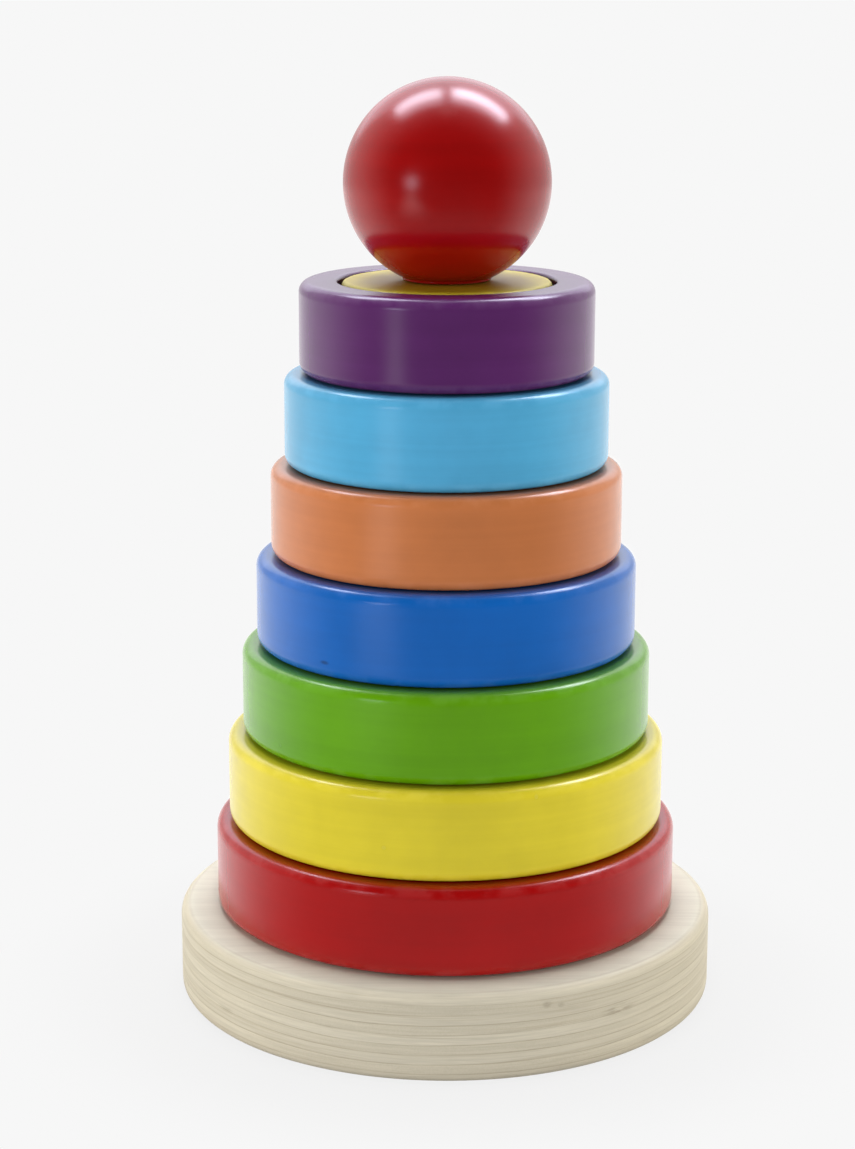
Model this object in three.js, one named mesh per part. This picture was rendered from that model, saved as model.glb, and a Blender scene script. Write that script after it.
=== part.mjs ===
// Stacking ring tower: a plywood base with a glued post, seven painted rings, each with
// a loose core disc inside it, and a ball that plugs onto the post.
// Millimetres, +Z up. The origin is the centre of the face that the base stands on.
import * as THREE from "three";

// Base
const BASE_DIAMETER = 125;
const BASE_HEIGHT = 20.5;
const BASE_EDGE_RADIUS = 1.5;
const SOCKET_FLOOR = 6.5; // wood left under the post's socket

// Post
const POST_DIAMETER = 12;
const POST_FOOT_CHAMFER = 1;
const POST_TIP_RADIUS = 4;
const POST_REACH = 20; // how far the post stands above the top tier, inside the ball

// Rings, outside
const RED_RING_DIAMETER = 107.5;
const YELLOW_RING_DIAMETER = 101.5;
const GREEN_RING_DIAMETER = 94.5;
const BLUE_RING_DIAMETER = 87.5;
const ORANGE_RING_DIAMETER = 80.5;
const SKY_BLUE_RING_DIAMETER = 74;
const PURPLE_RING_DIAMETER = 67;

// Rings and core discs
const TIER_HEIGHT = 20.75; // thickness of each ring and of the core inside it
const RING_WALL = 8.8;
const RING_EDGE_RADIUS = 2.5;
const CORE_EDGE_RADIUS = 1.25;
const BORE_CHAMFER = 0.75; // broken edge at each mouth of every bore

// Ball
const BALL_INSET = 0.45; // the ball is this much smaller in radius than the core it stands on
const BALL_SEAT_RIM = 2.25; // width of the flat that the ball stands on, round its bore
const BALL_FOOT_HEIGHT = 0.5; // straight foot below the round of the ball
const BALL_BORE_SPARE = 2; // room left over the post's tip

// Clearances
const SEAT_GAP = 0.2; // height between two pieces that rest on each other
const GLUE_GAP = 0.2; // glue film round the post in its socket
const CORE_CLEARANCE = 0.9; // on the radius, core disc in its ring
const POST_CLEARANCE = 1; // on the radius, core discs and ball on the post
const EDGE_SHARE = 0.45; // the most that a broken edge takes of a wall or height

// Faceting
const TURN_SEGMENTS = 40; // flats round a turned piece
const EDGE_STEPS = 1; // pairs of flats on a rounded edge
const BALL_STEPS = 7; // pairs of flats from the ball's seat to its crown

const PAINT = {
  red: 0xb01f27,
  yellow: 0xd9c832,
  green: 0x5c9c22,
  blue: 0x215bb0,
  orange: 0xc8774a,
  sky_blue: 0x55aedb,
  purple: 0x5a2a63,
};
const WOOD = 0xd8cdb6;

// From the base up: the ring's paint and outside diameter, and the paint of its core
const TIERS = [
  { ring: "red", diameter: RED_RING_DIAMETER, core: "green" },
  { ring: "yellow", diameter: YELLOW_RING_DIAMETER, core: "purple" },
  { ring: "green", diameter: GREEN_RING_DIAMETER, core: "red" },
  { ring: "blue", diameter: BLUE_RING_DIAMETER, core: "sky_blue" },
  { ring: "orange", diameter: ORANGE_RING_DIAMETER, core: "blue" },
  { ring: "sky_blue", diameter: SKY_BLUE_RING_DIAMETER, core: "orange" },
  { ring: "purple", diameter: PURPLE_RING_DIAMETER, core: "yellow" },
];

const tierPitch = SEAT_GAP + TIER_HEIGHT;
const stackTop = BASE_HEIGHT + TIERS.length * tierPitch;
const postBottom = SOCKET_FLOOR + GLUE_GAP;
const postTop = stackTop + POST_REACH;
const postRadius = POST_DIAMETER / 2;
const postBoreRadius = postRadius + POST_CLEARANCE;
const ringBoreRadius = (diameter) => diameter / 2 - RING_WALL;
const coreRadius = (diameter) => ringBoreRadius(diameter) - CORE_CLEARANCE;
const ballRadius = coreRadius(TIERS.at(-1).diameter) - BALL_INSET;
const QUARTER = Math.PI / 2;

const paint = (name) =>
  new THREE.MeshStandardMaterial({ color: PAINT[name], roughness: 0.25, metalness: 0 });
const bareWood = () =>
  new THREE.MeshStandardMaterial({ color: WOOD, roughness: 0.7, metalness: 0 });

// A solid of revolution about Z, from an outline of radius and height that runs up its outside.
function turned(name, outline, steps, material) {
  const geometry = new THREE.LatheGeometry(outline.getPoints(steps), TURN_SEGMENTS);
  geometry.rotateX(QUARTER);
  const mesh = new THREE.Mesh(geometry, material);
  mesh.name = name;
  return mesh;
}

// A broken edge, held back where the wall or height that it is cut into is small.
const edgeWithin = (edge, wall) => Math.min(edge, EDGE_SHARE * wall);

// A flat ring: rounded outer edges and chamfered bore.
function annulus(name, boreRadius, outerRadius, edgeRadius, material) {
  const wall = Math.min(outerRadius - boreRadius, TIER_HEIGHT);
  const edge = edgeWithin(edgeRadius, wall);
  const chamfer = edgeWithin(BORE_CHAMFER, wall);
  const edgeCentre = outerRadius - edge;
  const outline = new THREE.Path();
  outline.moveTo(boreRadius + chamfer, 0);
  outline.lineTo(edgeCentre, 0);
  outline.absarc(edgeCentre, edge, edge, -QUARTER, 0);
  outline.absarc(edgeCentre, TIER_HEIGHT - edge, edge, 0, QUARTER);
  outline.lineTo(boreRadius + chamfer, TIER_HEIGHT);
  outline.lineTo(boreRadius, TIER_HEIGHT - chamfer);
  outline.lineTo(boreRadius, chamfer);
  outline.closePath();
  return turned(name, outline, EDGE_STEPS, material);
}

function basePlate() {
  const radius = BASE_DIAMETER / 2;
  const edge = edgeWithin(BASE_EDGE_RADIUS, BASE_HEIGHT);
  const socketRadius = postRadius + GLUE_GAP;
  const outline = new THREE.Path();
  outline.moveTo(0, 0);
  outline.lineTo(radius - edge, 0);
  outline.absarc(radius - edge, edge, edge, -QUARTER, 0);
  outline.absarc(radius - edge, BASE_HEIGHT - edge, edge, 0, QUARTER);
  outline.lineTo(socketRadius, BASE_HEIGHT);
  outline.lineTo(socketRadius, SOCKET_FLOOR);
  outline.lineTo(0, SOCKET_FLOOR);
  return turned("base_plate", outline, EDGE_STEPS, bareWood());
}

function centrePost() {
  const length = postTop - postBottom;
  const chamfer = edgeWithin(POST_FOOT_CHAMFER, postRadius);
  const tip = Math.min(POST_TIP_RADIUS, postRadius);
  const outline = new THREE.Path();
  outline.moveTo(0, 0);
  outline.lineTo(postRadius - chamfer, 0);
  outline.lineTo(postRadius, chamfer);
  outline.absarc(postRadius - tip, length - tip, tip, 0, QUARTER);
  outline.lineTo(0, length);
  const post = turned("centre_post", outline, EDGE_STEPS, bareWood());
  post.position.z = postBottom;
  return post;
}

// One ring with its core disc, standing on height 0 of its own group.
function tier({ ring, diameter, core }) {
  const bore = ringBoreRadius(diameter);
  const outer = coreRadius(diameter);
  const group = new THREE.Group();
  group.add(annulus(`${ring}_ring`, bore, diameter / 2, RING_EDGE_RADIUS, paint(ring)));
  group.add(annulus(`${core}_core`, postBoreRadius, outer, CORE_EDGE_RADIUS, paint(core)));
  return group;
}

// A ball cut flat below to a short foot, with a blind bore that drops over the post.
function ballTop() {
  const mouthRadius = postBoreRadius + BORE_CHAMFER;
  const seatRadius = mouthRadius + BALL_SEAT_RIM;
  const seatDepth = Math.sqrt(ballRadius ** 2 - seatRadius ** 2);
  const centreHeight = BALL_FOOT_HEIGHT + seatDepth;
  const seatHeight = stackTop + SEAT_GAP;
  const boreDepth = postTop + BALL_BORE_SPARE - seatHeight;
  const outline = new THREE.Path();
  outline.moveTo(0, boreDepth);
  outline.lineTo(postBoreRadius, boreDepth);
  outline.lineTo(postBoreRadius, BORE_CHAMFER);
  outline.lineTo(mouthRadius, 0);
  outline.lineTo(seatRadius, 0);
  outline.absarc(0, centreHeight, ballRadius, -Math.atan2(seatDepth, seatRadius), QUARTER);
  const ball = turned("ball_top", outline, BALL_STEPS, paint("red"));
  ball.position.z = seatHeight;
  return ball;
}

const tower = new THREE.Group();
tower.name = "stacking_ring_tower";
tower.add(basePlate(), centrePost());
TIERS.forEach((sizes, index) => {
  const stacked = tier(sizes);
  stacked.position.z = BASE_HEIGHT + SEAT_GAP + index * tierPitch;
  tower.add(stacked);
});
tower.add(ballTop());

export default tower;
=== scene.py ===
"""Stacking ring tower: smooth turned pieces, their paint and wood, and a plain stage.

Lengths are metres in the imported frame: +Z runs up the post, and the photographed side is -Y.
"""
import math

import bpy
import numpy as np
from bpy.props import FloatProperty, FloatVectorProperty, IntProperty, PointerProperty
from mathutils import Matrix, Vector


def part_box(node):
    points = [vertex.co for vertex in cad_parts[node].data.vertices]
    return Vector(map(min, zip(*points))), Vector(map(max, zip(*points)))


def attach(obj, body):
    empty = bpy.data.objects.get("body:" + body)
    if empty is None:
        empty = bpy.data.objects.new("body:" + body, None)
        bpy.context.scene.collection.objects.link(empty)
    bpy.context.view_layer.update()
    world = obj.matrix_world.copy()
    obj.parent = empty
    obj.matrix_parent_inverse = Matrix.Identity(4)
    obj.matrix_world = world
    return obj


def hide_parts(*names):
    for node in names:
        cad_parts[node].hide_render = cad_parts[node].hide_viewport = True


bl_info = {
    "name": "Stacking Ring Tower",
    "version": (1, 0, 0),
    "blender": (4, 5, 0),
    "location": "View3D > Sidebar > Tower",
    "description": "Builds a painted wooden stacking tower around its packed frame",
    "category": "Object",
}

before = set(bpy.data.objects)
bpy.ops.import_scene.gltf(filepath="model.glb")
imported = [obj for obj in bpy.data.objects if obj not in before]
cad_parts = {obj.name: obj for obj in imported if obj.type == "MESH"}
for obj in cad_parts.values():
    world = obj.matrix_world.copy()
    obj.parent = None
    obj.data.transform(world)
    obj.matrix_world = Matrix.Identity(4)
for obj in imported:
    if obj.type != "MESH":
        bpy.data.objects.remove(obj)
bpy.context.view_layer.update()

MM = 0.001
QUARTER = math.pi / 2

# From the base up: the paint of the ring and the paint of the core inside it
TIERS = (
    ("red", "green"),
    ("yellow", "purple"),
    ("green", "red"),
    ("blue", "sky_blue"),
    ("orange", "blue"),
    ("sky_blue", "orange"),
    ("purple", "yellow"),
)

# Hand sanding: first seeds, waves round a piece, and the most that a wave turns per metre up
RING_SEED = 10
CORE_SEED = 30
SANDING_TURNS = np.array([2, 3, 5, 8, 13])
SANDING_DRIFT = 60

# Base board: grid rows on each ply, width of the groove at a glue line, share of the rounded
# edge on which the flat face's grain fades out, and the waves of the plies, each a share of a
# ply, turns round the board and a phase
PLY_ROWS = 10
GROOVE_WIDTH = 0.25 * MM
FACE_FADE = 0.6
PLY_WAVES = ((0.1, 3, 0.7), (0.06, 7, 2.1))

# Bevel at the post's lower end, rounding of the ball's foot, and how many times an edge's steps
# the round of the ball has
POST_FOOT = 1 * MM
BALL_LIP = 0.3 * MM
BALL_FINENESS = 12

# Paints in the order of their patterns, and the shift of the pattern from one to the next
PAINT_ORDER = ("red", "yellow", "green", "blue", "orange", "sky_blue", "purple", "ball_red")
PATTERN_SHIFT = (0.37, 0.21, 0.0)

# Values of a noise between which a tone goes from dark to light
SOFT = (0.3, 0.7)

# Roughness of fresh gloss paint, and what wear adds on the core discs
GLOSS_ROUGHNESS = 0.21
WORN_ROUGHNESS = 0.2

# Dark mark on the blue ring: degrees to the right of the front, height above the ring's lower
# face, and how far it reaches along each axis
SCUFF_TURN = -37.6
SCUFF_RISE = 3.7 * MM
SCUFF_SIZE = (1.7 * MM, 1.7 * MM, 0.65 * MM)

# Small knots round the base: degrees to the right of the front, height and reach along each
# axis in millimetres, and strength
KNOTS = (
    (38, 12.2, (6.5, 6.5, 1.7), 0.55),
    (21, 17.0, (1.7, 1.7, 1.1), 0.55),
    (24, 16.4, (1.2, 1.2, 0.9), 0.35),
    (-52, 7.4, (4.0, 4.0, 1.1), 0.35),
    (142, 9.0, (4.5, 4.5, 1.3), 0.45),
    (-128, 14.5, (2.4, 2.4, 1.0), 0.4),
)

# Floor: half its side, its grey, and the share of plain backdrop that is seen on it close to
# the tower, which grows to all of it between two distances
FLOOR_HALF = 2.4
FLOOR_GREY = 0.45
FLOOR_PLAIN = 0.9
SHADOW_FADE = (0.065, 0.11)

# Curtain: its height above the floor, the opening round the tower, its reach, the share of a
# quarter turn that its dome covers, how much its upper part counts as front, and the share of
# the way to the front over which it thickens
CURTAIN_LIFT = 1 * MM
CURTAIN_OPENING = 0.075
CURTAIN_REACH = 1.7
CURTAIN_DOME = 0.97
CURTAIN_LEAN = 0.25
CURTAIN_FADE = (-0.38, 0.66)

# Brightness of the curtain, the painted light that its foot adds near the tower, what the
# painted lamplit bar adds, and the brightness of the bare table
CURTAIN_LEVEL = 0.05
FOOT_LIGHT_LEVEL = 0.28
SHEEN_LEVEL = 1.5
TABLE_LEVEL = 0.35

# Distances over which the foot's painted light fades, the bar fades in and out, and the table
# ends upwards
FOOT_LIGHT_FADE = (0.1, 0.55)
SHEEN_START = (0.22, 0.55)
SHEEN_SIDES = (0.03, 0.17)
TABLE_TOP = (0.002, 0.02)

# Way of the lamplit bar, in degrees to the left of the front
SHEEN_TURN = 40.0

# Tints of the lamps, and the point that most of them face
COOL = (0.82, 0.85, 1.0)
WARM = (1.0, 0.97, 0.88)
WHITE = (1.0, 1.0, 1.0)
MIDDLE = (0, 0, 0.1)

# Lamps that only show in gloss: name, place, target, width and depth, radiance. Each panel is a
# bright core with a dimmer, larger rim 2 cm above it, so that its edge is soft.
PANELS = (
    ("left_panel_rim", (-0.30, 0.35, 0.92), (-0.30, 0.35, 0), (0.52, 0.52), 4.0),
    ("left_panel_core", (-0.30, 0.35, 0.9), (-0.30, 0.35, 0), (0.49, 0.25), 9.0),
    ("right_panel_rim", (0.37, 0.37, 0.92), (0.37, 0.37, 0), (0.68, 0.52), 5.1),
    ("right_panel_core", (0.37, 0.37, 0.9), (0.37, 0.37, 0), (0.64, 0.25), 12.0),
)

# Lamps that show in gloss and light matt surfaces: the same five
LAMPS = (
    ("back_glow", (0, 1.3, 0.9), MIDDLE, (2.2, 1.0), 1.0),
    ("left_lamp", (-0.76, -0.93, 0.27), MIDDLE, (0.24, 0.24), 5.5),
)

# Lamps that only light matt surfaces: the same five, and a tint
FILLS = (
    ("left_fill", (-1.1, 0.25, 0.13), MIDDLE, (0.8, 0.26), 16.2, WARM),
    ("right_fill", (1.1, 0.25, 0.13), MIDDLE, (0.8, 0.26), 18.4, WARM),
    ("front_fill", (-0.2, -1.25, 0.14), MIDDLE, (1.2, 0.28), 11.1, WHITE),
    ("back_fill", (0, 1.4, 0.2), MIDDLE, (1.2, 0.4), 5.5, WHITE),
    ("top_fill", (0, 0.25, 1.6), (0, 0.25, 0), (0.9, 0.9), 9.5, WHITE),
    ("high_fill", (-0.2, -1.3, 1.9), (0, 0, 1.9), (1.2, 1.8), 0.9, WHITE),
)

SENSOR_WIDTH = 36.0


def half_width(node):
    """Outer radius of a round node."""
    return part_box(node)[1].x


def heights(node):
    """Lowest and highest point of a node."""
    low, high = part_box(node)
    return low.z, high.z


# User settings


def length_setting(name, description, default):
    """A length of the settings, in metres."""
    return FloatProperty(name=name, description=description, default=default, unit="LENGTH")


def angle_setting(name, description, degrees):
    """An angle of the settings."""
    return FloatProperty(
        name=name, description=description, default=math.radians(degrees), subtype="ANGLE"
    )


def level_setting(name, description, default):
    """A brightness of the settings, from 0 to 1."""
    return FloatProperty(
        name=name, description=description, default=default, min=0, max=1, subtype="FACTOR"
    )


def colour_setting(name, description, default):
    """A colour of the settings, as linear red, green and blue."""
    return FloatVectorProperty(
        name=name, description=description, default=default, subtype="COLOR", min=0.0, max=1.0
    )


class TowerSizes(bpy.types.PropertyGroup):
    """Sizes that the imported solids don't give by their boxes."""

    segments: IntProperty(
        name="Segments", description="Flats round each turned piece", default=192, min=32
    )
    edge_steps: IntProperty(
        name="Edge steps", description="Flats on each rounded edge", default=8, min=2
    )
    ring_edge: length_setting("Ring edge", "Radius of a ring's outer edges", 2.5 * MM)
    core_edge: length_setting("Core edge", "Radius of a core disc's outer edges", 1.25 * MM)
    bore_edge: length_setting("Bore edge", "Radius at the mouth of each bore", 0.75 * MM)
    base_edge: length_setting("Base edge", "Radius of the base's sanded edges", 2.5 * MM)
    core_clearance: length_setting(
        "Core clearance", "Gap between a core disc and its ring", 0.9 * MM
    )
    post_clearance: length_setting(
        "Post clearance", "Gap between the post and the pieces on it", 1.0 * MM
    )
    glue_gap: length_setting("Glue gap", "Glue film round the post in its socket", 0.2 * MM)
    ball_seat: length_setting("Ball seat", "Radius of the flat foot under the ball", 10 * MM)
    ball_bore_spare: length_setting(
        "Ball bore spare", "Room over the post's tip inside the ball", 2 * MM
    )
    post_tip: length_setting("Post tip", "Radius of the rounding on the post's tip", 4 * MM)
    unevenness: length_setting(
        "Unevenness", "How far sanding by hand leaves a turned wall out of round", 0.1 * MM
    )
    plies: IntProperty(name="Plies", description="Layers in the base board", default=9, min=3)
    ply_groove: length_setting(
        "Ply groove", "Depth of the sanded groove at each glue line", 0.06 * MM
    )


class TowerPaints(bpy.types.PropertyGroup):
    """Colours of the paints and the bare wood."""

    red: colour_setting("Red", "Gloss red of a ring and a core", (0.285, 0.001, 0.001))
    # Painted shade: a darker copy of the red paint for the ball, which gets less light than the
    # rings.
    ball_red: colour_setting("Ball red", "Gloss deep red of the ball", (0.235, 0.0008, 0.0008))
    yellow: colour_setting("Yellow", "Gloss yellow", (0.562, 0.47, 0.0215))
    green: colour_setting("Green", "Gloss green", (0.09, 0.264, 0.001))
    blue: colour_setting("Blue", "Gloss mid blue", (0.003, 0.091, 0.365))
    orange: colour_setting("Orange", "Gloss burnt orange", (0.435, 0.142, 0.046))
    sky_blue: colour_setting("Sky blue", "Gloss light blue", (0.064, 0.305, 0.51))
    purple: colour_setting("Purple", "Gloss dark purple", (0.076, 0.015, 0.094))
    veneer: colour_setting("Veneer", "Pale wood of the base", (0.535, 0.49, 0.387))
    face_veneer: colour_setting("Face veneer", "Flat faces of the base", (0.625, 0.63, 0.525))
    end_grain: colour_setting("End grain", "Cut ends of the cross plies", (0.49, 0.445, 0.345))
    glue_line: colour_setting("Glue line", "Dark line between plies", (0.33, 0.28, 0.2))
    dowel: colour_setting("Dowel", "Bare wood of the post", (0.58, 0.43, 0.26))


class TowerStage(bpy.types.PropertyGroup):
    """Camera, floor and light."""

    camera_distance: length_setting("Distance", "Camera in front of the post", 0.5985)
    camera_height: length_setting("Height", "Camera above the floor", 0.2442)
    pitch: angle_setting("Pitch", "Camera's tilt below the horizon", 13.65)
    pan: angle_setting("Pan", "Camera's turn to the left", 0.41)
    roll: angle_setting("Roll", "Camera's lean to the left", 0.1)
    lens: FloatProperty(
        name="Lens", description="Focal length in millimetres", default=83.43, unit="CAMERA"
    )
    background: level_setting("Background", "Brightness of the backdrop", 0.93)
    ambient: level_setting("Ambient", "Light from all round", 0.12)


# Turned surfaces


def arc(centre, radius, start, end, steps):
    """Quarter or part circle: radius and height are centre + radius (cos t, sin t).

    The third column is an edge mark, sin of the way along, 0 at both ends. The end is left off.
    """
    way = np.arange(steps) / steps
    turn = start + (end - start) * way
    return np.column_stack(
        (
            centre[0] + radius * np.cos(turn),
            centre[1] + radius * np.sin(turn),
            np.sin(way * math.pi),
        )
    )


def stretch(start, end, steps):
    """Straight run of points, closer at both ends: way = (1 - cos(pi s)) / 2.

    The end is left off.
    """
    way = (1 - np.cos(np.arange(steps) / steps * math.pi)) / 2
    way = way[:, None]
    points = np.asarray(start) * (1 - way) + np.asarray(end) * way
    return np.column_stack((points, np.zeros(steps)))


def joined(*runs, end=None):
    """One outline from several runs, with its last point added where it ends on the axis."""
    rows = list(runs)
    if end is not None:
        rows.append(np.array([[end[0], end[1], 0.0]]))
    return np.concatenate(rows)


def ring_outline(bore, outer, low, high, bore_edge, outer_edge, steps):
    """Closed outline of a flat ring: four flats joined by quarter circles."""
    inside = bore + bore_edge
    outside = outer - outer_edge
    flats = 6
    return joined(
        stretch((inside, low), (outside, low), flats),
        arc((outside, low + outer_edge), outer_edge, -QUARTER, 0, steps),
        stretch((outer, low + outer_edge), (outer, high - outer_edge), 2 * flats),
        arc((outside, high - outer_edge), outer_edge, 0, QUARTER, steps),
        stretch((outside, high), (inside, high), flats),
        arc((inside, high - bore_edge), bore_edge, QUARTER, math.pi, steps // 2),
        stretch((bore, high - bore_edge), (bore, low + bore_edge), flats),
        arc((inside, low + bore_edge), bore_edge, math.pi, 3 * QUARTER, steps // 2),
    )


def sanded(angle, radius, height, inner, outer, depth, seed):
    """Hand-sanded wall: radius less depth (1 + s) / 2, where s is a mean of sines.

    Each sine turns several times round the piece and drifts with height. The effect grows
    from nothing at the inner radius to all of it at the outer one, so bores stay round.
    """
    chance = np.random.default_rng(seed)
    weight = 1 / np.sqrt(SANDING_TURNS)
    phase = chance.uniform(0, 2 * math.pi, SANDING_TURNS.size)
    drift = chance.uniform(-SANDING_DRIFT, SANDING_DRIFT, SANDING_TURNS.size)
    waves = np.sin(
        SANDING_TURNS * angle[:, None, None] + drift * height[None, :, None] + phase
    )
    s = (waves * weight).sum(2) / weight.sum()
    share = np.clip((radius - inner) / (outer - inner), 0, 1) ** 2
    return radius - depth * share * (1 + s) / 2


def revolve(name, outline, segments, shape=None, marks=None, closed=True):
    """Turns an outline about Z: x = r cos a, y = r sin a, z = h, on a grid of angle and outline.

    An outline that starts and ends on the axis is closed there by two poles, and any other
    is closed on itself, or left open where closed is False. shape(angle, radius, height) may
    give the radius on the whole grid. marks maps a name to a function of the same three that
    gives a value for each point.
    """
    poles = outline[0, 0] == 0 and outline[-1, 0] == 0
    ends = outline[[0, -1]]
    rows = outline[1:-1] if poles else outline
    angle = np.arange(segments) / segments * 2 * math.pi
    radius, height, edge = rows.T
    grid = np.broadcast_to(radius, (segments, radius.size))
    if shape:
        grid = shape(angle, radius, height)
    level = np.broadcast_to(height, grid.shape)
    points = np.stack(
        (grid * np.cos(angle)[:, None], grid * np.sin(angle)[:, None], level), axis=2
    ).reshape(-1, 3)
    count = rows.shape[0]
    index = np.arange(segments * count).reshape(segments, count)
    beside = np.roll(index, -1, axis=0)
    if poles or not closed:
        here, there = index[:, :-1], beside[:, :-1]
        there_up, here_up = beside[:, 1:], index[:, 1:]
    else:
        here, there = index, beside
        there_up, here_up = np.roll(beside, -1, axis=1), np.roll(index, -1, axis=1)
    faces = np.stack((here, there, there_up, here_up), axis=2).reshape(-1, 4).tolist()
    values = {"edge": np.broadcast_to(edge, grid.shape).ravel()}
    for mark, function in (marks or {}).items():
        values[mark] = np.broadcast_to(function(angle, radius, height), grid.shape).ravel()
    if poles:
        first = points.shape[0]
        axis_points = np.column_stack((np.zeros((2, 2)), ends[:, 1]))
        points = np.concatenate((points, axis_points))
        start = np.full(segments, first)
        last = np.full(segments, first + 1)
        faces += np.column_stack((start, beside[:, 0], index[:, 0])).tolist()
        faces += np.column_stack((last, index[:, -1], beside[:, -1])).tolist()
        rim = {mark: value.reshape(grid.shape) for mark, value in values.items()}
        values = {
            mark: np.concatenate((value, [rim[mark][0, 0], rim[mark][0, -1]]))
            for mark, value in values.items()
        }
    mesh = bpy.data.meshes.new(name)
    mesh.from_pydata(points.tolist(), [], faces)
    mesh.polygons.foreach_set("use_smooth", [True] * len(mesh.polygons))
    for mark, value in values.items():
        layer = mesh.attributes.new(mark, "FLOAT", "POINT")
        layer.data.foreach_set("value", value.astype(np.float32))
    mesh.update()
    piece = bpy.data.objects.new(name, mesh)
    bpy.context.scene.collection.objects.link(piece)
    return piece


def settle(piece, body, node, material):
    """Puts a finished piece on its body, in place of its solid, with its finish."""
    piece.data.materials.append(material)
    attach(piece, body)
    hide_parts(node)


# Materials


class Shade:
    """One socket in a node tree. Arithmetic adds Math nodes, and add() makes any other node."""

    def __init__(self, tree, socket=None):
        self.tree = tree
        self.socket = socket

    def add(self, kind, settings=None, inputs=None, output=0):
        """Makes a node, sets its settings, then its inputs, and wraps one of its outputs."""
        node = self.tree.nodes.new(kind)
        for key, value in (settings or {}).items():
            setattr(node, key, value)
        for key, value in (inputs or {}).items():
            if isinstance(value, Shade):
                self.tree.links.new(value.socket, node.inputs[key])
            else:
                node.inputs[key].default_value = value
        return Shade(self.tree, node.outputs[output] if node.outputs else None)

    def beside(self, output):
        """Another output of the node that this one belongs to."""
        return Shade(self.tree, self.socket.node.outputs[output])

    def math(self, operation, *values):
        """A Math node on this tree."""
        return self.add("ShaderNodeMath", {"operation": operation}, dict(enumerate(values)))

    def __add__(self, other):
        return self.math("ADD", self, other)

    __radd__ = __add__

    def __sub__(self, other):
        return self.math("SUBTRACT", self, other)

    def __rsub__(self, other):
        return self.math("SUBTRACT", other, self)

    def __mul__(self, other):
        return self.math("MULTIPLY", self, other)

    __rmul__ = __mul__

    def __truediv__(self, other):
        return self.math("DIVIDE", self, other)

    def step(self, low, high):
        """Smooth step of this value, 0 at low and 1 at high."""
        return self.add(
            "ShaderNodeMapRange",
            {"interpolation_type": "SMOOTHSTEP"},
            {"Value": self, "From Min": low, "From Max": high},
        )


def mix(share, first, second):
    """Colour between two colours: the node's inputs 6 and 7 and output 2 are its colour ones."""
    return share.add(
        "ShaderNodeMix", {"data_type": "RGBA"}, {0: share, 6: first, 7: second}, output=2
    )


def scaled(place, size, offset=(0, 0, 0)):
    """Coordinates multiplied along each axis, then moved."""
    return place.add(
        "ShaderNodeMapping", None, {"Vector": place, "Location": offset, "Scale": size}
    )


def noise(place, scale, detail=3.0, roughness=0.55, distortion=0.0):
    """Noise value, about 0.5 on average."""
    return place.add(
        "ShaderNodeTexNoise",
        {"noise_dimensions": "3D"},
        {
            "Vector": place,
            "Scale": scale,
            "Detail": detail,
            "Roughness": roughness,
            "Distortion": distortion,
        },
    )


def drawn_noise(place, scales, **settings):
    """Noise with a scale of its own along each axis, drawn out along the one with the least."""
    return noise(scaled(place, scales), 1, **settings)


def marked(place, name):
    """Value of a mark that the mesh carries."""
    return place.add("ShaderNodeAttribute", {"attribute_name": name}, output="Fac")


def axes(place):
    """X, Y and Z of a position."""
    x = place.add("ShaderNodeSeparateXYZ", None, {"Vector": place})
    return x, x.beside("Y"), x.beside("Z")


def length_of(place):
    """Length of a vector, or how far a position is from the origin."""
    return place.add("ShaderNodeVectorMath", {"operation": "LENGTH"}, {0: place}, "Value")


def solid(colour):
    """Colour with full alpha."""
    return (*colour, 1.0)


def tone(colour, factor):
    """Colour times a factor, kept within 1."""
    return solid(min(1.0, part * factor) for part in colour)


def toned(share, colour, dark, light):
    """Colour between a darker and a lighter tone of itself."""
    return mix(share, tone(colour, dark), tone(colour, light))


def new_material(name):
    """Empty material, and its Object coordinates."""
    material = bpy.data.materials.new(name)
    material.use_nodes = True
    tree = material.node_tree
    tree.nodes.clear()
    place = Shade(tree).add("ShaderNodeTexCoord", output="Object")
    return material, place


def surface(shader):
    """Makes a shader the material's surface."""
    shader.add("ShaderNodeOutputMaterial", None, {"Surface": shader})


def finish(place, inputs):
    """Principled shader with these inputs, as the material's surface."""
    surface(place.add("ShaderNodeBsdfPrincipled", None, inputs))


def bump(height, strength, distance):
    """Normal bent by a height."""
    return height.add(
        "ShaderNodeBump", None, {"Height": height, "Strength": strength, "Distance": distance}
    )


def blot(place, radius, turn, height, size):
    """Soft spot on a round wall, 1 at its middle, by its degrees to the right of the front."""
    angle = math.radians(turn)
    spot = np.array((radius * math.sin(angle), -radius * math.cos(angle), height))
    near = scaled(place, tuple(1 / np.array(size)), tuple(-spot / np.array(size)))
    return 1 - length_of(near).step(0.2, 1.0)


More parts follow.
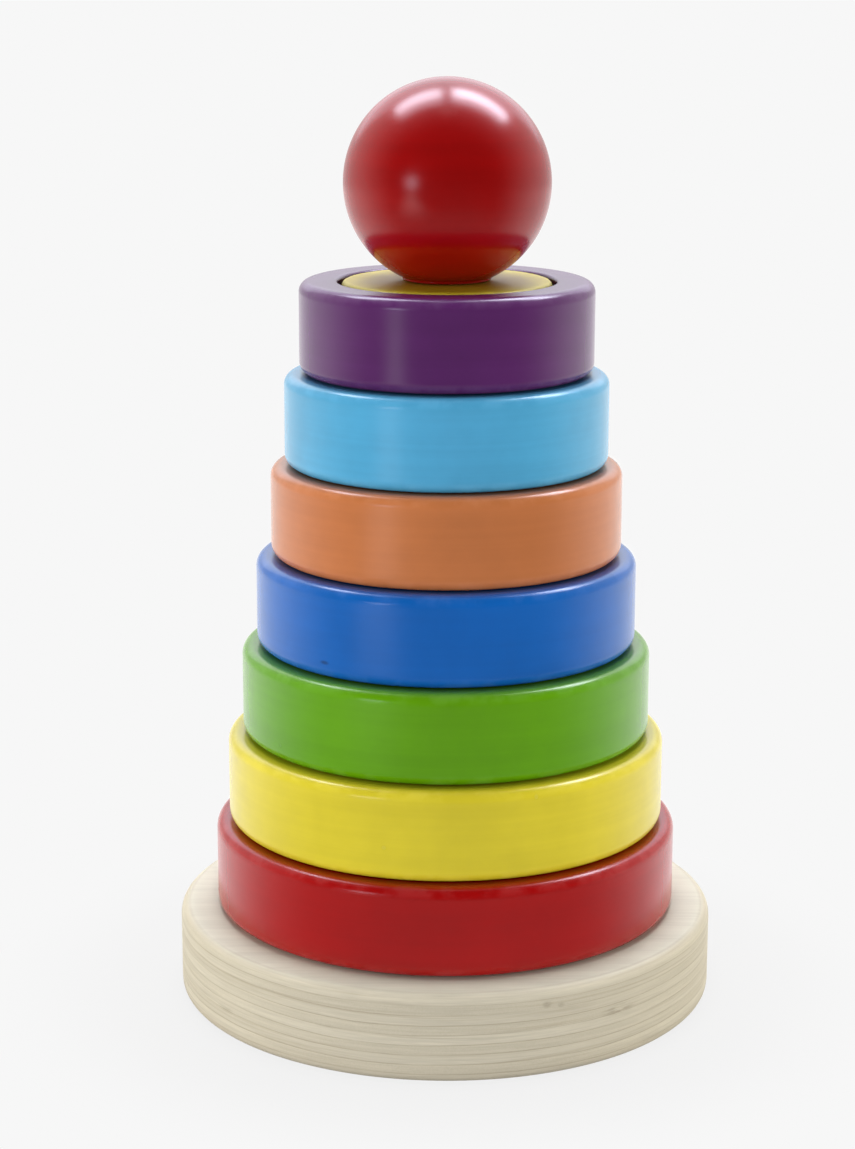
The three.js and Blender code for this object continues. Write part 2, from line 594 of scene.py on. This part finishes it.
def gloss_paint(name, colour, seed, scuffs):
    """Brushed gloss paint on turned wood.

    The colour drifts in soft clouds, faint turning lines run level round the piece, the paint
    is thinner and lighter on rounded edges, which is partly a painted highlight there, and a few
    specks and hazy patches break the gloss.
    Each scuff is a small dark spot. The mark rub is 1 on a core disc, which is worn duller.
    """
    material, bare = new_material(name)
    place = scaled(bare, (1, 1, 1), tuple(part * seed for part in PATTERN_SHIFT))
    rub = marked(place, "rub")
    edge = marked(place, "edge")
    clouds = noise(place, 38, detail=4, roughness=0.6)
    lines = drawn_noise(place, (9, 9, 620), roughness=0.6)
    broad_lines = drawn_noise(place, (5, 5, 190), detail=2)
    peel = noise(place, 750, detail=2)
    haze = noise(place, 60, detail=5, roughness=0.65).step(0.5, 0.72)
    # Rounded edges are lightened: partly thinner paint, partly a painted highlight along the edge.
    thin_paint_and_highlight = edge * noise(place, 170).step(0.42, 0.62)
    cells = place.add(
        "ShaderNodeTexVoronoi", {"feature": "F1"}, {"Vector": place, "Scale": 150, "Randomness": 1}
    )
    cell = cells.beside("Color")
    pick = cell.add("ShaderNodeSeparateColor", None, {"Color": cell}).step(0.93, 0.95)
    speck = pick * (1 - cells.step(0.05, 0.12))
    drift = clouds * 0.55 + lines * 0.2 + broad_lines * 0.25
    thin_paint_and_highlight_colour = tone((part + 0.04 for part in colour), 1.2)
    body = toned(drift.step(*SOFT), colour, dark=0.9, light=1.1)
    body = mix(thin_paint_and_highlight * 0.3, body, thin_paint_and_highlight_colour)
    body = mix(speck * 0.2, body, tone(colour, 0.5))
    for turn, wall, height, size in scuffs:
        body = mix(blot(bare, wall, turn, height, size) * 0.75, body, tone(colour, 0.3))
    uneven = 0.05 * clouds + 0.025 * haze + 0.05 * speck
    relief = lines * 0.5 + broad_lines * 0.5 + peel * 0.18
    finish(
        place,
        {
            "Base Color": body,
            "Roughness": GLOSS_ROUGHNESS + uneven + WORN_ROUGHNESS * rub,
            "IOR": 1.5,
            "Specular IOR Level": 0.5,
            "Normal": bump(relief, strength=0.02, distance=0.4 * MM),
        },
    )
    return material


def plywood(paints, radius):
    """Sanded plywood. The board's plies cross each other, so round the edge each ply turns
    from long grain to end grain and back, its neighbours the other way about.

    Dark seams follow the glue lines, finer threads run between them, painted shade darkens the
    lower edge where the board meets the floor, and a few knots lie round the board. The mark ply
    counts the layers up the board, and top is 1 on the two flat faces.
    """
    material, place = new_material("sanded_ply")
    layer = marked(place, "ply")
    flat = marked(place, "top")
    x, _, rise = axes(place)
    across = x * (1 / radius)
    number = layer.math("FLOOR", layer)
    within = layer - number
    odd = number.math("MODULO", number, 2.0)
    chance = number.add("ShaderNodeTexWhiteNoise", {"noise_dimensions": "1D"}, {"W": number})
    sideways = (across * across).step(0.0, 1.0)
    ends = odd * (1 - sideways) + (1 - odd) * sideways

    streaks = drawn_noise(place, (55, 55, 1900), detail=4, roughness=0.65)
    fibres = drawn_noise(place, (170, 170, 5200), detail=2)
    pores = noise(place, 2600, roughness=0.7)
    patches = noise(place, 70, detail=4, roughness=0.6)
    long_tone = (streaks * 0.6 + fibres * 0.4).step(*SOFT)
    long_grain = toned(long_tone, paints.veneer, dark=0.86, light=1.08)
    cut_tone = (pores * 0.35 + streaks * 0.65).step(0.32, 0.68)
    cut_grain = toned(cut_tone, paints.end_grain, dark=0.88, light=1.08)
    side = mix((ends * 0.55 + patches * 0.3).step(0.1, 0.8), long_grain, cut_grain)
    side = mix(chance.step(0.0, 1.0) * 0.25, side, tone(paints.end_grain, 0.9))

    glue = solid(paints.glue_line)
    seam = 1 - (within * (1 - within)).step(0.0, 0.07)
    seam = seam * drawn_noise(place, (40, 40, 300)).step(0.22, 0.6)
    threads = drawn_noise(place, (12, 12, 1000), detail=4, roughness=0.7, distortion=0.3)
    # Painted shade: the lower edge is mixed towards the glue colour where the board meets the
    # floor.
    painted_low_edge_shade = 1 - rise.step(0.0, 4.5 * MM)
    side = mix(seam * 0.6, side, glue)
    side = mix(threads.step(0.5, 0.68) * 0.4, side, glue)
    side = mix(painted_low_edge_shade * 0.4, side, glue)

    figure = drawn_noise(place, (14, 160, 60), detail=4, roughness=0.6, distortion=0.4)
    rays = drawn_noise(place, (60, 900, 60), roughness=0.6)
    face_tone = (figure * 0.6 + rays * 0.4).step(*SOFT)
    face = toned(face_tone, paints.face_veneer, dark=0.92, light=1.08)

    wood = mix(flat, side, face)
    for turn, height, size, strength in KNOTS:
        extent = tuple(part * MM for part in size)
        knot = blot(place, radius, turn, height * MM, extent)
        knot = knot * drawn_noise(place, (240, 240, 1500)).step(0.35, 0.6)
        wood = mix(knot * strength, wood, tone(paints.glue_line, 0.75))
    relief = (streaks * 0.5 + pores * 0.2) * (1 - flat) + rays * 0.6 * flat - seam * 0.8
    finish(
        place,
        {
            "Base Color": wood,
            "Roughness": 0.5 + 0.18 * streaks,
            "IOR": 1.45,
            "Specular IOR Level": 0.35,
            "Normal": bump(relief, strength=0.3, distance=0.3 * MM),
        },
    )
    return material


def bare_dowel(paints):
    """Sanded dowel: grain runs up the post, with short darker flecks."""
    material, place = new_material("sanded_dowel")
    grain = drawn_noise(place, (420, 420, 9), detail=4, roughness=0.6, distortion=0.3)
    flecks = drawn_noise(place, (1500, 1500, 160), detail=2).step(0.6, 0.72)
    wood = toned(grain.step(*SOFT), paints.dowel, dark=0.84, light=1.14)
    wood = mix(flecks * 0.4, wood, tone(paints.dowel, 0.6))
    finish(
        place,
        {
            "Base Color": wood,
            "Roughness": 0.55 + 0.15 * grain,
            "Specular IOR Level": 0.35,
            "Normal": bump(grain * 0.7 - flecks * 0.4, strength=0.3, distance=0.3 * MM),
        },
    )
    return material


def paint_for(context, name):
    """Paint of this name, made once."""
    title = f"gloss_{name}"
    if title in bpy.data.materials:
        return bpy.data.materials[title]
    colour = getattr(context.scene.tower_paints, name)
    scuffs = []
    if name == "blue":
        low = heights("blue_ring")[0]
        scuffs.append((SCUFF_TURN, half_width("blue_ring"), low + SCUFF_RISE, SCUFF_SIZE))
    return gloss_paint(title, tuple(colour), PAINT_ORDER.index(name) + 1, scuffs)


# Operators


class TOWER_OT_base(bpy.types.Operator):
    """Make the plywood base"""

    bl_idname = "tower.base"
    bl_label = "Base"

    def execute(self, context):
        sizes = context.scene.tower_sizes
        node = "base_plate"
        radius = half_width(node)
        low, high = heights(node)
        edge = sizes.base_edge
        rim = radius - edge
        fade = FACE_FADE * edge
        socket = half_width("centre_post") + sizes.glue_gap
        floor = heights("centre_post")[0] - sizes.glue_gap
        round_steps = sizes.edge_steps
        ply = (high - low) / sizes.plies
        rows = sizes.plies * PLY_ROWS
        rise = np.linspace(low + edge, high - edge, rows, endpoint=False)
        wall = np.column_stack((np.full(rows, radius), rise, np.zeros(rows)))
        outline = joined(
            stretch((0, low), (rim, low), steps=10),
            arc((rim, low + edge), edge, -QUARTER, 0, round_steps),
            wall,
            arc((rim, high - edge), edge, 0, QUARTER, round_steps),
            stretch((rim, high), (socket, high), steps=10),
            stretch((socket, high), (socket, floor), steps=6),
            stretch((socket, floor), (0, floor), steps=3),
            end=(0, floor),
        )

        def layer(angle, distance, height):
            """Plies counted up the board, with a slow wave round it."""
            wave = sum(share * np.sin(turns * angle + phase) for share, turns, phase in PLY_WAVES)
            middle = np.sin((height - low) / (high - low) * math.pi)
            return (height - low) / ply + wave[:, None] * middle

        def shape(angle, distance, height):
            """Edge sanded in slightly at each glue line, by groove times a narrow bell."""
            count = layer(angle, distance, height)
            off = (count - np.round(count)) * ply / GROOVE_WIDTH
            side = np.clip((distance - rim) / edge, 0, 1)
            return distance - sizes.ply_groove * side * np.exp(-(off**2))

        def top(angle, distance, height):
            """1 on the flat faces, 0 on the edge, and a short fade on the rounding."""
            return np.clip((rim + fade - distance) / fade, 0, 1)

        marks = {"ply": layer, "top": top}
        piece = revolve("base_board", outline, 2 * sizes.segments, shape, marks)
        material = plywood(context.scene.tower_paints, radius)
        settle(piece, "base", node, material)
        return {"FINISHED"}


class TOWER_OT_post(bpy.types.Operator):
    """Make the post"""

    bl_idname = "tower.post"
    bl_label = "Post"

    def execute(self, context):
        sizes = context.scene.tower_sizes
        node = "centre_post"
        radius = half_width(node)
        low, high = heights(node)
        tip = sizes.post_tip
        outline = joined(
            stretch((0, low), (radius - POST_FOOT, low), steps=3),
            stretch((radius - POST_FOOT, low), (radius, low + POST_FOOT), steps=2),
            stretch((radius, low + POST_FOOT), (radius, high - tip), steps=24),
            arc((radius - tip, high - tip), tip, 0, QUARTER, sizes.edge_steps),
            stretch((radius - tip, high), (0, high), steps=3),
            end=(0, high),
        )
        piece = revolve("post_dowel", outline, sizes.segments // 2)
        settle(piece, "base", node, bare_dowel(context.scene.tower_paints))
        return {"FINISHED"}


def flat_ring(context, title, node, bore, edge, seed, rub=0.0):
    """A painted ring or core disc in place of its solid."""
    sizes = context.scene.tower_sizes
    outer = half_width(node)
    low, high = heights(node)
    outline = ring_outline(bore, outer, low, high, sizes.bore_edge, edge, sizes.edge_steps)

    def shape(angle, radius, height):
        """Outer wall left slightly uneven by hand sanding."""
        return sanded(angle, radius, height, bore, outer, sizes.unevenness, seed)

    def worn(angle, radius, height):
        """Wear of the gloss, the same all over the piece."""
        return np.full(radius.shape, rub)

    return revolve(title, outline, sizes.segments, shape, {"rub": worn})


class TOWER_OT_rings(bpy.types.Operator):
    """Make the seven painted rings"""

    bl_idname = "tower.rings"
    bl_label = "Rings"

    def execute(self, context):
        sizes = context.scene.tower_sizes
        for seed, (ring, core) in enumerate(TIERS, RING_SEED):
            node = f"{ring}_ring"
            bore = half_width(f"{core}_core") + sizes.core_clearance
            piece = flat_ring(context, f"{ring}_hoop", node, bore, sizes.ring_edge, seed)
            settle(piece, node, node, paint_for(context, ring))
        return {"FINISHED"}


class TOWER_OT_cores(bpy.types.Operator):
    """Make the seven core discs"""

    bl_idname = "tower.cores"
    bl_label = "Core discs"

    def execute(self, context):
        sizes = context.scene.tower_sizes
        bore = half_width("centre_post") + sizes.post_clearance
        for seed, (_, core) in enumerate(TIERS, CORE_SEED):
            node = f"{core}_core"
            piece = flat_ring(context, f"{core}_disc", node, bore, sizes.core_edge, seed, rub=1.0)
            settle(piece, node, node, paint_for(context, core))
        return {"FINISHED"}


class TOWER_OT_ball(bpy.types.Operator):
    """Make the ball"""

    bl_idname = "tower.ball"
    bl_label = "Ball"

    def execute(self, context):
        sizes = context.scene.tower_sizes
        node = "ball_top"
        radius = half_width(node)
        low, high = heights(node)
        bore = half_width("centre_post") + sizes.post_clearance
        mouth = bore + sizes.bore_edge
        ceiling = heights("centre_post")[1] + sizes.ball_bore_spare
        centre = high - radius
        seat = sizes.ball_seat
        lip = seat - BALL_LIP
        start = -math.acos(seat / radius)
        foot_top = centre + radius * math.sin(start)
        round_steps = sizes.edge_steps
        outline = joined(
            stretch((0, ceiling), (bore, ceiling), steps=4),
            stretch((bore, ceiling), (bore, low + sizes.bore_edge), steps=10),
            stretch((bore, low + sizes.bore_edge), (mouth, low), steps=3),
            stretch((mouth, low), (lip, low), steps=4),
            arc((lip, low + BALL_LIP), BALL_LIP, -QUARTER, 0, round_steps // 2),
            stretch((seat, low + BALL_LIP), (seat, foot_top), steps=3),
            arc((0, centre), radius, start, QUARTER, BALL_FINENESS * round_steps) * (1, 1, 0),
            end=(0, high),
        )
        piece = revolve("ball_knob", outline, sizes.segments)
        # The ball is painted with the shaded copy of the red paint.
        settle(piece, "ball", node, paint_for(context, "ball_red"))
        return {"FINISHED"}


# Stage


def area_lamp(name, place, target, size, radiance, tint, shows=True, lights=True):
    """Rectangular lamp of this radiance, facing a target: power = radiance pi width depth.

    A lamp that doesn't show only lights matt surfaces, and one that doesn't light only shows in
    gloss. Multiple importance sampling is off for a lamp that doesn't show.
    """
    width, depth = size
    data = bpy.data.lights.new(name, "AREA")
    data.shape = "RECTANGLE"
    data.size = width
    data.size_y = depth
    data.energy = radiance * math.pi * width * depth
    data.color = tint
    lamp = bpy.data.objects.new(name, data)
    lamp.location = place
    lamp.rotation_euler = (Vector(target) - Vector(place)).to_track_quat("-Z", "Y").to_euler()
    lamp.visible_camera = False
    lamp.visible_glossy = shows
    lamp.visible_diffuse = lights
    data.cycles.use_multiple_importance_sampling = shows
    bpy.context.scene.collection.objects.link(lamp)


def seen(place):
    """1 for rays from the camera, from gloss or through glass, 0 for rays that only light."""
    camera = place.add("ShaderNodeLightPath", output="Is Camera Ray")
    glossy = camera.beside("Is Glossy Ray")
    glass = camera.beside("Is Transmission Ray")
    return camera.math("MAXIMUM", camera, camera.math("MAXIMUM", glossy, glass))


def studio_world(level, ambient):
    """Plain backdrop where it is seen, and an even, dimmer light from all round elsewhere.

    It isn't sampled as a lamp, because such samples pass the curtain, which casts no shadow.
    """
    world = bpy.data.worlds.new("studio")
    world.use_nodes = True
    world.cycles.sampling_method = "NONE"
    tree = world.node_tree
    tree.nodes.clear()
    share = seen(Shade(tree))
    strength = share * level + (1 - share) * ambient
    shader = share.add("ShaderNodeBackground", None, {"Color": solid(WHITE), "Strength": strength})
    share.add("ShaderNodeOutputWorld", None, {"Surface": shader})
    return world


def glowing(place, colour):
    """Light of this colour, or of this grey where it is a value."""
    return place.add("ShaderNodeEmission", None, {"Color": colour, "Strength": 1.0})


def on_table(rise):
    """1 at the height of the table, 0 above it."""
    return 1 - rise.step(*TABLE_TOP)


def sheen(place):
    """Patch of lamplight on the table to the front left: a bar that fades in with the way
    along it and out with the way across it, on the table only.
    """
    turn = math.radians(SHEEN_TURN)
    along, across, rise = (
        place.add("ShaderNodeVectorMath", {"operation": "DOT_PRODUCT"}, {0: place, 1: way}, "Value")
        for way in (
            (-math.sin(turn), -math.cos(turn), 0),
            (math.cos(turn), -math.sin(turn), 0),
            (0, 0, 1),
        )
    )
    aside = across.math("ABSOLUTE", across)
    return along.step(*SHEEN_START) * (1 - aside.step(*SHEEN_SIDES)) * on_table(rise)


def curtain_material():
    """Dark cloth in front of the tower and on the near part of the table, which only gloss
    shows. It thins out towards the sides, the back and the top by a smooth step of the way's
    share along -Y.

    Its foot glows with painted light close to the tower and has a lamplit bar on it. Where it
    has thinned out, the table glows faintly.
    """
    material, place = new_material("curtain")
    material.cycles.emission_sampling = "NONE"
    out = length_of(place)
    _, y, rise = axes(place)
    front = (CURTAIN_LEAN * rise - y) / out
    # Painted light: the foot glows brighter close to the tower, as a lit table would.
    foot = FOOT_LIGHT_LEVEL * (1 - out.step(*FOOT_LIGHT_FADE))
    dark = glowing(place, CURTAIN_LEVEL + foot + SHEEN_LEVEL * sheen(place))
    pale = glowing(place, TABLE_LEVEL * on_table(rise))
    clear = place.add("ShaderNodeBsdfTransparent")
    clear = place.add("ShaderNodeAddShader", None, {0: clear, 1: pale})
    cover = front.step(*CURTAIN_FADE)
    surface(place.add("ShaderNodeMixShader", None, {0: cover, 1: clear, 2: dark}))
    return material


def floor_material(level):
    """Pale matt floor. Where it is seen, most of its light is plain backdrop, and all of it
    further out, so the shadow is soft and stays near the tower.
    """
    material, place = new_material("floor")
    material.cycles.emission_sampling = "NONE"
    matt = place.add("ShaderNodeBsdfDiffuse", None, {"Color": solid([FLOOR_GREY] * 3)})
    pale = glowing(place, solid([level] * 3))
    plain = FLOOR_PLAIN + (1 - FLOOR_PLAIN) * length_of(place).step(*SHADOW_FADE)
    surface(place.add("ShaderNodeMixShader", None, {0: seen(place) * plain, 1: matt, 2: pale}))
    return material


def add_floor(scene, level):
    """Square floor under the tower."""
    half = FLOOR_HALF
    corners = [(-half, -half, 0), (half, -half, 0), (half, half, 0), (-half, half, 0)]
    mesh = bpy.data.meshes.new("floor")
    mesh.from_pydata(corners, [], [(0, 1, 2, 3)])
    mesh.materials.append(floor_material(level))
    floor = bpy.data.objects.new("floor", mesh)
    scene.collection.objects.link(floor)


def add_curtain():
    """Flat foot round the tower and a dome over it, seen by gloss alone."""
    outline = joined(
        stretch((CURTAIN_OPENING, CURTAIN_LIFT), (CURTAIN_REACH, CURTAIN_LIFT), steps=24),
        arc((0, CURTAIN_LIFT), CURTAIN_REACH, 0, CURTAIN_DOME * QUARTER, steps=24),
    )
    curtain = revolve("curtain", outline, segments=96, closed=False)
    curtain.data.materials.append(curtain_material())
    curtain.visible_camera = False
    curtain.visible_diffuse = False
    curtain.visible_transmission = False
    curtain.visible_shadow = False


def add_camera(scene, stage):
    """Camera in front of the tower, turned left, tilted down and leant by the settings."""
    data = bpy.data.cameras.new("camera")
    data.sensor_width = SENSOR_WIDTH
    data.lens = stage.lens
    camera = bpy.data.objects.new("camera", data)
    camera.matrix_world = (
        Matrix.Translation((0, -stage.camera_distance, stage.camera_height))
        @ Matrix.Rotation(stage.pan, 4, "Z")
        @ Matrix.Rotation(QUARTER - stage.pitch, 4, "X")
        @ Matrix.Rotation(stage.roll, 4, "Z")
    )
    scene.collection.objects.link(camera)
    scene.camera = camera


class TOWER_OT_stage(bpy.types.Operator):
    """Make the floor, the curtain, the lamps and the camera"""

    bl_idname = "tower.stage"
    bl_label = "Stage"

    def execute(self, context):
        scene = context.scene
        stage = scene.tower_stage
        add_floor(scene, stage.background)
        add_curtain()
        scene.world = studio_world(stage.background, stage.ambient)
        for panel in PANELS:
            area_lamp(*panel, COOL, lights=False)
        for lamp in LAMPS:
            area_lamp(*lamp, COOL)
        for fill in FILLS:
            area_lamp(*fill, shows=False)
        add_camera(scene, stage)
        scene.view_settings.view_transform = "Standard"
        return {"FINISHED"}


class TOWER_PT_panel(bpy.types.Panel):
    """Lists the tower's pieces and settings"""

    bl_idname = "TOWER_PT_panel"
    bl_label = "Stacking Ring Tower"
    bl_space_type = "VIEW_3D"
    bl_region_type = "UI"
    bl_category = "Tower"

    def draw(self, context):
        column = self.layout.column(align=True)
        for operator in OPERATORS:
            column.operator(operator.bl_idname)
        for group in SETTINGS:
            settings = getattr(context.scene, group)
            box = self.layout.box()
            for name in settings.__annotations__:
                box.prop(settings, name)


OPERATORS = (
    TOWER_OT_base,
    TOWER_OT_post,
    TOWER_OT_rings,
    TOWER_OT_cores,
    TOWER_OT_ball,
    TOWER_OT_stage,
)
SETTINGS = {"tower_sizes": TowerSizes, "tower_paints": TowerPaints, "tower_stage": TowerStage}


def register():
    for group in SETTINGS.values():
        bpy.utils.register_class(group)
    for name, group in SETTINGS.items():
        setattr(bpy.types.Scene, name, PointerProperty(type=group))
    for item in (*OPERATORS, TOWER_PT_panel):
        bpy.utils.register_class(item)


def unregister():
    for item in (TOWER_PT_panel, *OPERATORS):
        bpy.utils.unregister_class(item)
    for name, group in SETTINGS.items():
        delattr(bpy.types.Scene, name)
        bpy.utils.unregister_class(group)


def main():
    register()
    bpy.ops.tower.base()
    bpy.ops.tower.post()
    bpy.ops.tower.rings()
    bpy.ops.tower.cores()
    bpy.ops.tower.ball()
    bpy.ops.tower.stage()


if __name__ == "__main__":
    main()
